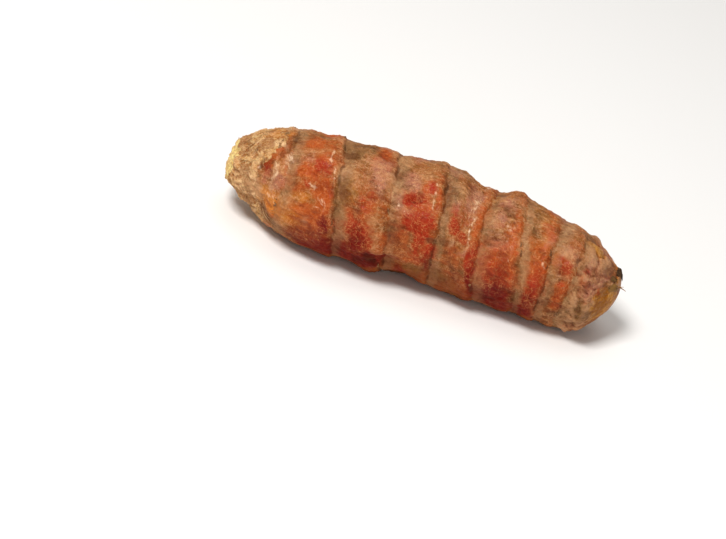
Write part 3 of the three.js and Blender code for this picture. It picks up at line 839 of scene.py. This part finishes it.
# Coats of colour, one over the other: what each follows, where it starts and where it is full, colour, cover,
# and the share it keeps to
COATS = [
    ("middling", 0.42, 0.66, "#98501F", 0.42, None),
    ("broad", 0.42, 0.62, "#916636", 0.5, None),
    ("rings", 0.5, 0.66, "#A6673C", 0.4, "dull"),
    ("streaks", 0.48, 0.7, "#743C1A", 0.3, "dull"),
    ("middling", 0.46, 0.3, "#6E4622", 0.35, "dull"),
    ("broad", 0.3, 0.5, "#94704A", 0.65, "band"),
    ("middling", 0.35, 0.6, "#AC5020", 0.5, "ridge"),
    ("middling", 0.2, 0.6, "#A47454", 0.62, "tip"),
    ("olive", 0.5, 1.2, "#6C4C24", 0.78, None),
    ("ochre", 0.45, 1.1, "#C07620", 0.85, None),
    # Pink-grey film, partly a painted sheen on the upper side
    ("pink", 0.5, 1.1, "#A86C58", 0.72, None),
    ("orange", 0.42, 1.35, "#B84A14", 0.7, None),
    ("red", 0.42, 1.35, "#9A160A", 0.82, None),
    # Painted shade: the finger's lower side, between its base and its tip, is darkened to red-brown
    ("middling", 0.1, 0.6, "#803010", 0.7, "low"),
    # Deep red, partly the skin's own and partly painted shade on the lower side; darkest in the bud's dent
    # and low down
    ("deep", 0.4, 1.25, "#700A05", 0.94, None),
    ("deep", 1.3, 2.0, "#4C0A03", 0.85, None),
    ("brown", 0.45, 1.3, "#563518", 0.72, None),
    ("cracks", 0.05, 0.02, "#4E2610", 0.3, "dull"),
    ("middling", 0.0, 0.1, "#B67C3A", 0.9, "dry"),
    ("strands", 0.45, 0.6, "#DDB47A", 0.7, "dry"),
    ("cross_strands", 0.5, 0.64, "#E2BC84", 0.5, "dry"),
    ("fibres", 0.12, 0.04, "#EBCB96", 0.55, "dry"),
    ("hairs", 0.5, 0.36, "#7A421D", 0.4, "dry"),
    ("ochre", 0.6, 1.2, "#AA6721", 0.5, "dry"),
    # Pale flaky skin, partly painted highlight on the crinkles and painted light on the dry skin's lower side
    ("pale", 0.7, 1.5, "#C89D74", 0.6, None),
    ("pale", 0.7, 1.3, "#ECC490", 0.7, "dry"),
    ("ochre", 1.0, 1.8, "#CE7C20", 0.55, None),
    ("middling", 0.0, 0.1, "#F4DE92", 1.0, "torn"),
    ("fine", 0.5, 0.65, "#D8A450", 0.6, "torn"),
    # Painted highlights on the crests of the fine relief: on the dull skin and, pinker, on the tip
    (trait["fine"], 0.02, 0.2, "#C88B5B", 0.4, "dull"),
    (trait["fine"], 0.05, 0.4, "#C0916E", 0.45, "tip"),
    # Painted shade in the clefts between the tip's knobs
    (trait["cleft_shade"], 0.66, 0.9, "#4A2412", 0.7, None),
    ("ochre", 0.6, 1.3, "#BC7E22", 0.9, "tip"),
    ("hairs", 0.56, 0.66, "#D4824A", 0.2, "rubbed"),
    # Painted highlights along the crests of the wrinkles, creases and fibrils
    ("wrinkles", 0.487, 0.497, "#DC9258", 0.42, "rubbed"),
    ("creases", 0.487, 0.497, "#DC9258", 0.36, "rubbed"),
    ("wrinkles", 0.487, 0.497, "#DBA878", 0.48, "dull"),
    ("creases", 0.487, 0.497, "#DBA878", 0.4, "dull"),
    ("fibrils", 0.485, 0.498, "#D9A070", 0.25, "dull"),
    ("wrinkles", 0.485, 0.498, "#5A2A14", 0.35, "tip"),
    ("fine", 0.54, 0.68, "#C28353", 0.3, "dull"),
    ("hairs", 0.56, 0.66, "#D8A674", 0.32, "dull"),
    ("rings", 0.56, 0.66, "#D8A674", 0.3, "dull"),
    ("grainy", 0.44, 0.32, "#C48E5C", 0.3, "dull"),
    ("olive", 0.7, 1.6, "#77502A", 0.6, None),
    ("middling", 0.2, 0.5, "#936C48", 0.35, "band"),
    # Painted highlights on the ribs and crinkles, where their damp skin shines
    ("rib", 0.55, 1.05, "#EEC69C", 0.6, None),
    # Painted shade in the folds after the scars and in the pits
    ("hollow", 0.7, 1.35, "#4A2A16", 0.6, None),
]
colour = srgb("#915826")
for follows, starts, full, tint, cover, only in COATS:
    source = noise[follows] if isinstance(follows, str) else follows
    covered = add(tree, "ShaderNodeMapRange", {
        "Value": source, "From Min": starts, "From Max": full, "To Max": cover},
        interpolation_type="SMOOTHSTEP").outputs[0]
    if only:
        covered = add(tree, "ShaderNodeMath", {0: covered, 1: share[only]}, operation="MULTIPLY").outputs[0]
    colour = add(tree, "ShaderNodeMix", {0: covered, 6: colour, 7: srgb(tint)}, data_type="RGBA").outputs[2]

# Painted shade in the hollows of the fine relief, and flecks and specks, darken whatever colour is under
# them:
# what each follows, where it starts, where it is full, and its shade
SHADES = [
    (trait["fine"], -0.04, -0.26, "#D8C8C0"),
    (noise["fine"], 0.5, 0.34, "#E8DCD6"),
    (noise["grainy"], 0.56, 0.7, "#DED2CC"),
]
for source, starts, full, shade in SHADES:
    covered = add(tree, "ShaderNodeMapRange", {"Value": source, "From Min": starts, "From Max": full},
                  interpolation_type="SMOOTHSTEP").outputs[0]
    colour = add(tree, "ShaderNodeMix", {0: covered, 6: colour, 7: srgb(shade)}, data_type="RGBA",
                 blend_type="MULTIPLY").outputs[2]

# The crinkles are damp and shine, the bare orange and the tan skin shine a little, the red is dull
ORANGE_SHINE, TAN_SHINE = 0.2, 0.16
MATT, SHINING = 0.66, 0.34      # roughness
DAMP_COAT = 0.65
some_bare = add(tree, "ShaderNodeMath", {0: share["orange"], 1: ORANGE_SHINE},
                operation="MULTIPLY").outputs[0]
some_tan = add(tree, "ShaderNodeMath", {0: share["dull"], 1: TAN_SHINE}, operation="MULTIPLY").outputs[0]
damp = add(tree, "ShaderNodeMath", {0: some_bare, 1: some_tan}, operation="MAXIMUM").outputs[0]
damp = add(tree, "ShaderNodeMath", {0: damp, 1: share["rib"]}, operation="MAXIMUM").outputs[0]
roughness = add(tree, "ShaderNodeMapRange", {"Value": damp, "To Min": MATT, "To Max": SHINING}).outputs[0]
coat = add(tree, "ShaderNodeMath", {0: damp, 1: DAMP_COAT}, operation="MULTIPLY").outputs[0]

# Relief too fine for the mesh: each noise and its share of the bump's height
BUMPS = [
    ("middling", 0.35), ("fine", 0.4), ("streaks", 0.25), ("hairs", 0.2), ("rings", 0.2), ("grainy", 0.16),
    ("wrinkles", 0.4), ("creases", 0.3), ("fibrils", 0.2),
]
height = 0.0
for rough, amount in BUMPS:
    height = add(tree, "ShaderNodeMath", {0: noise[rough], 1: amount, 2: height},
                 operation="MULTIPLY_ADD").outputs[0]
bump = add(tree, "ShaderNodeBump", {"Strength": 0.9, "Distance": 0.55 * MM, "Height": height}).outputs[0]
surface = add(tree, "ShaderNodeBsdfPrincipled", {
    "Base Color": colour, "Roughness": roughness, "Normal": bump, "Specular IOR Level": 0.06,
    "Coat Weight": coat, "Coat Roughness": 0.16, "Coat Normal": bump,
    "Subsurface Weight": 0.06, "Subsurface Radius": (1.0, 0.35, 0.12), "Subsurface Scale": 1.0 * MM,
})
add(tree, "ShaderNodeOutputMaterial", {0: surface.outputs[0]})
mesh.materials.append(skin)


def in_scene(name, data):
    """A new object of some data, in the scene."""
    made = bpy.data.objects.new(name, data)
    bpy.context.scene.collection.objects.link(made)
    return made


rhizome = in_scene("turmeric_finger", mesh)
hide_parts(NODE)
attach(rhizome, "root")

# Dry fibres
# Threads of old leaf and root, left on the dry skin of the base, round its torn edge and on the tip. Each is
# a thin straw-coloured strand that lies on the skin, with its root end sunk in it and its other end a little
# free.
FIBRE_ROWS, FIBRE_SIDES = 12, 6
FIBRE_CURL = 0.5
FIBRE_ROOT_DEPTH = 0.08
FIBRE_SKIN_RADIUS = 9           # the finger's radius, near enough, under most fibres
FIBRE_TAPER = 0.75
fibre_rng = np.random.default_rng(21)


def tubes_mesh(name, points, tones):
    """Closed tubes from their rings of points, shaped (tubes, rows, round, 3): each tube's rings are joined,
    and both its ends are closed to a point in the middle of the end ring. Each tube has one tone."""
    tubes, rows, ring = points.shape[:3]
    ends = points[:, [0, -1]].mean(2)
    every = np.concatenate([points.reshape(tubes, rows * ring, 3), ends], 1)
    corner = np.arange(rows * ring).reshape(rows, ring)
    first_fan, last_fan, quads = tube_faces(corner, rows * ring, rows * ring + 1)
    offsets = np.arange(tubes)[:, None, None] * (rows * ring + 2)
    faces = [face for kind in (quads, first_fan, last_fan)
             for face in (kind + offsets).reshape(-1, kind.shape[1]).tolist()]
    made = bpy.data.meshes.new(name)
    made.from_pydata(every.reshape(-1, 3).tolist(), [], faces)
    made.shade_smooth()
    tone = np.repeat(tones, rows * ring + 2).astype(np.float32)
    made.attributes.new("tone", "FLOAT", "POINT").data.foreach_set("value", tone)
    return made


def fibre_points(start, at, heading, length, thick, hump, free):
    """Tapering tubes along paths on the skin. A path leaves its start in its heading, in degrees from the
    finger's length, arches by a half sine wave to its hump, and lifts by a cube to its free height."""
    s = np.linspace(0, 1, FIBRE_ROWS)
    ahead = length[:, None] * s
    curl = FIBRE_CURL * np.sin(2.2 * s + 5 * start[:, None])
    turn = np.radians(heading)[:, None] + curl * s
    x = np.clip(start[:, None] + ahead * np.cos(turn), TORN_RIM, LENGTH - 0.4)
    angle = np.radians(at)[:, None] + ahead * np.sin(turn) / FIBRE_SKIN_RADIUS
    lift = hump[:, None] * np.sin(np.pi * s) + free[:, None] * s ** 3 - FIBRE_ROOT_DEPTH * (1 - s)
    out = np.stack([np.zeros_like(angle), np.cos(angle), np.sin(angle)], -1)
    return tube_rings(skin_points(x, angle, lift=lift) + to_middle, out, thick, s)


def tube_rings(middle, out, thick, s):
    """Rings round paths of points, square to each path. Their radius narrows by a square to a quarter at its
    end."""
    along = np.gradient(middle, axis=1)
    along = along / np.linalg.norm(along, axis=-1, keepdims=True)
    out = out - (out * along).sum(-1, keepdims=True) * along
    out = out / np.linalg.norm(out, axis=-1, keepdims=True)
    beside = np.cross(along, out)
    around = np.linspace(0, 2 * np.pi, FIBRE_SIDES, endpoint=False)[:, None]
    width = (thick[:, None] * (1 - FIBRE_TAPER * s ** 2) * MM)[..., None, None]
    ring = np.cos(around) * out[:, :, None, :] + np.sin(around) * beside[:, :, None, :]
    return middle[:, :, None, :] + width * ring


def scattered(count, start, at, heading, length, thick, hump, free):
    """A number of fibres with each value drawn evenly between two ends. The heading points either way."""
    either_way = np.where(fibre_rng.random(count) < 0.6, 1, -1)
    drawn = [fibre_rng.uniform(*ends, count) for ends in (start, at, heading, length, thick, hump, free)]
    drawn[2] = drawn[2] * either_way
    return drawn


# How many, and the two ends of start, direction, heading, length, radius, hump and free height. On the base,
# only those stay that lie on the dry skin. Those by the scars move to the nearest scar.
on_base = scattered(190, (2.0, 11.0), (0, 360), (15, 60), (1.6, 4.0), (0.035, 0.07), (0.04, 0.2), (0.0, 0.3))
dry_here = on_base[0] + 0.8 * on_base[3] < crust_edge(np.radians(on_base[1]))
on_base = [values[dry_here] for values in on_base]
on_rim = scattered(26, (1.3, 2.2), (0, 360), (120, 170), (0.8, 2.2), (0.04, 0.08), (0.05, 0.2), (0.2, 0.7))
under_base = scattered(26, (8.0, 13.0), (192, 222), (30, 65), (1.0, 2.6), (0.03, 0.06), (0.03, 0.12),
                       (0.0, 0.3))
on_tip = scattered(34, (77.0, 83.5), (0, 360), (20, 80), (0.9, 2.2), (0.03, 0.06), (0.03, 0.12), (0.0, 0.25))
by_scars = scattered(14, (12.5, 76.0), (0, 360), (30, 85), (0.8, 1.8), (0.03, 0.05), (0.03, 0.1), (0.0, 0.2))
nearest = np.abs(by_scars[0][:, None] - LEAF_SCARS[:, 0]).argmin(1)
by_scars[0] = LEAF_SCARS[nearest, 0] - fibre_rng.uniform(0.1, 1.2, len(nearest))
every_fibre = [np.concatenate(columns) for columns in zip(on_base, on_rim, under_base, on_tip, by_scars)]
fibre_tones = fibre_rng.random(len(every_fibre[0])) * np.where(every_fibre[0] < 12.4, 1.0, 0.3)

# One loose thread stands off the very end, and a shorter one beside it: length ahead, to the near side and up
THREADS = [(2.1, 0.5, -0.2), (1.4, 0.8, 0.8)]
THREAD_RADII = [0.15, 0.11]
thread_start = skin_points(np.array([85.0]), np.array([np.radians(132)])) + to_middle
thread_share = np.linspace(0, 1, FIBRE_ROWS)[:, None]
thread_paths = np.stack([thread_start + MM * np.array([ahead, 0, 0]) * thread_share
                         + MM * np.array([0, -near, up]) * thread_share ** 2 for ahead, near, up in THREADS])
upwards = np.broadcast_to([0.0, 0.0, 1.0], thread_paths.shape)
thread_rings = tube_rings(thread_paths, upwards, np.array(THREAD_RADII), thread_share[:, 0])
fibre_rings = np.r_[fibre_points(*every_fibre), thread_rings]
fibre_mesh = tubes_mesh("dry_fibres", fibre_rings, np.r_[fibre_tones, 0.0, 0.1])

# Dry root fibre: dead and colourless, straw to brown from one strand to the next, and quite matt.
fibre_finish, tree = empty_material("dry_root_fibre")
tone = add(tree, "ShaderNodeAttribute", attribute_name="tone").outputs["Fac"]
object_place = add(tree, "ShaderNodeTexCoord").outputs["Object"]
mottle = add(tree, "ShaderNodeTexNoise", {
    "Vector": object_place, "Scale": 1 / (0.8 * MM), "Detail": 3}).outputs[0]
tone = add(tree, "ShaderNodeMath", {0: mottle, 1: 0.5, 2: tone}, operation="MULTIPLY_ADD").outputs[0]
pale = add(tree, "ShaderNodeMapRange", {"Value": tone, "From Min": 0.2, "From Max": 1.3}).outputs[0]
straw = add(tree, "ShaderNodeMix", {0: pale, 6: srgb("#8A5C30"), 7: srgb("#D8B07A")},
            data_type="RGBA").outputs[2]
surface = add(tree, "ShaderNodeBsdfPrincipled", {
    "Base Color": straw, "Roughness": 0.75, "Specular IOR Level": 0.2})
add(tree, "ShaderNodeOutputMaterial", {0: surface.outputs[0]})
fibre_mesh.materials.append(fibre_finish)

fibres = in_scene("dry_fibres", fibre_mesh)
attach(fibres, "root")

# Flakes of skin
# Papery rags of the old leaves' bases, left along the leaf scars and the edge of the dry skin, and three dark
# scales on the tip. Each is a thin sheet that grows out of the skin on its base side and curls up at its free
# edge.
FLAKE_ROWS, FLAKE_SIDES = 8, 16
FLAKE_ROOT_DEPTH = 0.12
FLAKE_SKIN_RADIUS = 11
NIBBLED = 0.12
SCAR_FLAKES, EDGE_FLAKES = 36, 26
flake_rng = np.random.default_rng(22)


def flake_points(start, at, length, half_width, curl, thin):
    """Flattened tubes: at a share s of the length, the half width is that of an ellipse with a nibbled edge,
    the lift is the curl times s squared, and each face stands off the middle by the thickness given, which
    halves towards the free edge."""
    s = np.linspace(0.0, 0.97, FLAKE_ROWS)[None, :, None]
    around = np.linspace(0, 2 * np.pi, FLAKE_SIDES, endpoint=False)[None, None, :]
    start, at, length, half_width, curl, thin = (np.array(values)[:, None, None] for values in (
        start, at, length, half_width, curl, thin))
    nibbled = 1 + NIBBLED * np.sin(9 * s + 7 * at) * np.cos(3 * around)
    across = half_width * np.sqrt(1 - 0.75 * s ** 2) * nibbled * np.cos(around)
    ahead = length * s * (1 + 0.15 * np.sin(4 * across + at))
    angle = np.radians(at) + across / FLAKE_SKIN_RADIUS
    lift = curl * s ** 2 - FLAKE_ROOT_DEPTH * (1 - s) - thin * np.sin(around) * (1 - 0.5 * s)
    x = np.clip(start + ahead, TORN_RIM, LENGTH - 0.2)
    return skin_points(x, angle, lift=lift) + to_middle


scar_of_flake = flake_rng.integers(0, len(LEAF_SCARS), SCAR_FLAKES)
scar_at = flake_rng.uniform(0, 360, SCAR_FLAKES)
scar_start = LEAF_SCARS[scar_of_flake, 0] - flake_rng.uniform(0.3, 0.8, SCAR_FLAKES)
edge_at = flake_rng.uniform(0, 360, EDGE_FLAKES)
edge_start = crust_edge(np.radians(edge_at)) - flake_rng.uniform(0.3, 1.4, EDGE_FLAKES)
flake_start = np.r_[scar_start, edge_start]
flake_at = np.r_[scar_at, edge_at]
flakes = len(flake_at)
flake_tones = np.r_[flake_rng.uniform(0, 0.35, SCAR_FLAKES), flake_rng.uniform(0.5, 1, EDGE_FLAKES)]
flake_mesh = tubes_mesh("skin_flakes", flake_points(
    flake_start, flake_at, flake_rng.uniform(0.5, 1.1, flakes), flake_rng.uniform(0.3, 1.1, flakes),
    flake_rng.uniform(0.03, 0.2, flakes), np.full(flakes, 0.04)), flake_tones)

# The tip's three scales: starts, directions, lengths, half widths, curls and thicknesses, and then tones
scale_mesh = tubes_mesh("tip_scale", flake_points(
    [83.6, 82.8, 83.4], [84.0, 116.0, 140.0], [2.2, 1.8, 2.0], [2.8, 2.0, 2.2], [1.0, 0.5, 0.7],
    [0.12, 0.08, 0.1]), np.array([0.2, 0.6, 1.4]))

# Dry leaf base: thin, fibrous lengthwise, tan with browner edges on the scars and dark brown on the tip.
for flake_piece, dark, light in ((flake_mesh, "#6A3E20", "#CC9C66"), (scale_mesh, "#3A2413", "#8A6230")):
    dry_leaf, tree = empty_material("dry_leaf_base_" + flake_piece.name)
    object_place = add(tree, "ShaderNodeTexCoord").outputs["Object"]
    drawn_out = add(tree, "ShaderNodeMapping", {"Vector": object_place, "Scale": (0.2, 1, 1)}).outputs[0]
    veins = add(tree, "ShaderNodeTexNoise", {
        "Vector": drawn_out, "Scale": 1 / (0.3 * MM), "Detail": 4}).outputs[0]
    tone = add(tree, "ShaderNodeAttribute", attribute_name="tone").outputs["Fac"]
    tone = add(tree, "ShaderNodeMath", {0: tone, 1: 0.6, 2: veins}, operation="MULTIPLY_ADD").outputs[0]
    vein_share = add(tree, "ShaderNodeMapRange", {
        "Value": tone, "From Min": 0.55, "From Max": 1.3}).outputs[0]
    leaf_colour = add(tree, "ShaderNodeMix", {0: vein_share, 6: srgb(dark), 7: srgb(light)},
                      data_type="RGBA").outputs[2]
    leaf_bump = add(tree, "ShaderNodeBump", {
        "Strength": 0.8, "Distance": 0.1 * MM, "Height": veins}).outputs[0]
    surface = add(tree, "ShaderNodeBsdfPrincipled", {
        "Base Color": leaf_colour, "Roughness": 0.7, "Specular IOR Level": 0.2, "Normal": leaf_bump})
    add(tree, "ShaderNodeOutputMaterial", {0: surface.outputs[0]})
    flake_piece.materials.append(dry_leaf)
    leaves = in_scene(flake_piece.name, flake_piece)
    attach(leaves, "root")

# Floor
# A plain pale board for the finger to lie on, matt and with no texture. It belongs to the stage, not to the
# root.
FLOOR_HALF = 2.0                # in metres
floor_corners = [(FLOOR_HALF * x, FLOOR_HALF * y, 0) for x, y in ((-1, -1), (1, -1), (1, 1), (-1, 1))]
floor_mesh = bpy.data.meshes.new("pale_floor")
floor_mesh.from_pydata(floor_corners, [], [(0, 1, 2, 3)])
board = bpy.data.materials.new("pale_matt_board")
board.use_nodes = True
board_surface = board.node_tree.nodes["Principled BSDF"]
board_surface.inputs["Base Color"].default_value = srgb("#F7F5F2")
board_surface.inputs["Roughness"].default_value = 0.9
board_surface.inputs["Specular IOR Level"].default_value = 0.1
floor_mesh.materials.append(board)
floor = in_scene("pale_floor", floor_mesh)

# Lights
# Three soft boxes: the main one above the camera to the left, a weak low one to the right, and one overhead.
# The room around is pale and lights the shadows.
MIDDLE_HEIGHT = 12
ROOM_LIGHT = 0.27
target = Vector((0, 0, MIDDLE_HEIGHT * MM))

# Name, place and width in metres, and watts
SOFT_BOXES = [
    ("main_light", (-0.2, -0.27, 0.6), 0.22, 4.1),
    ("side_light", (0.35, -0.6, 0.22), 0.5, 0.65),
    ("top_light", (0.0, 0.25, 0.8), 0.6, 1.3),
]
for light_name, where, width, watts in SOFT_BOXES:
    lamp = bpy.data.lights.new(light_name, "AREA")
    lamp.size = width
    lamp.energy = watts
    holder = in_scene(light_name, lamp)
    holder.location = where
    holder.rotation_mode = "QUATERNION"
    holder.rotation_quaternion = (target - holder.location).to_track_quat("-Z", "Y")
world = bpy.data.worlds.new("pale_room")
world.use_nodes = True
world.node_tree.nodes["Background"].inputs["Color"].default_value = srgb("#FFFDFA")
world.node_tree.nodes["Background"].inputs["Strength"].default_value = ROOM_LIGHT
bpy.context.scene.world = world
bpy.context.scene.view_settings.view_transform = "Standard"

# Camera
# It looks down at 30 degrees and is rolled, because the finger in the photograph leans with its tip lower. It
# stands off the finger's middle, so that the finger lies where the photograph has it in the frame.
AZIMUTH, ELEVATION, ROLL = np.radians(5), np.radians(30), np.radians(16.5)
DISTANCE = 0.5
IMAGE_WIDTH, IMAGE_HEIGHT = 726, 539
MM_FOR_A_PIXEL = 0.2066
FINGER_MIDDLE = (421.5, 221.5)      # pixel of the finger's middle in the photograph
back = Vector((np.sin(AZIMUTH) * np.cos(ELEVATION), -np.cos(AZIMUTH) * np.cos(ELEVATION), np.sin(ELEVATION)))
turn = (-back).to_track_quat("-Z", "Y") @ Quaternion((0, 0, 1), ROLL)
right_way, up_way = turn @ Vector((1, 0, 0)), turn @ Vector((0, 1, 0))
off_right = (FINGER_MIDDLE[0] - IMAGE_WIDTH / 2) * MM_FOR_A_PIXEL * MM
off_up = (IMAGE_HEIGHT / 2 - FINGER_MIDDLE[1]) * MM_FOR_A_PIXEL * MM
camera_data = bpy.data.cameras.new("camera")
camera_data.sensor_width = 36
camera_data.lens = camera_data.sensor_width * DISTANCE / (IMAGE_WIDTH * MM_FOR_A_PIXEL * MM)
camera_data.clip_start = 0.01
camera = in_scene("camera", camera_data)
camera.rotation_mode = "QUATERNION"
camera.rotation_quaternion = turn
camera.location = target + back * DISTANCE - right_way * off_right - up_way * off_up
bpy.context.scene.camera = camera
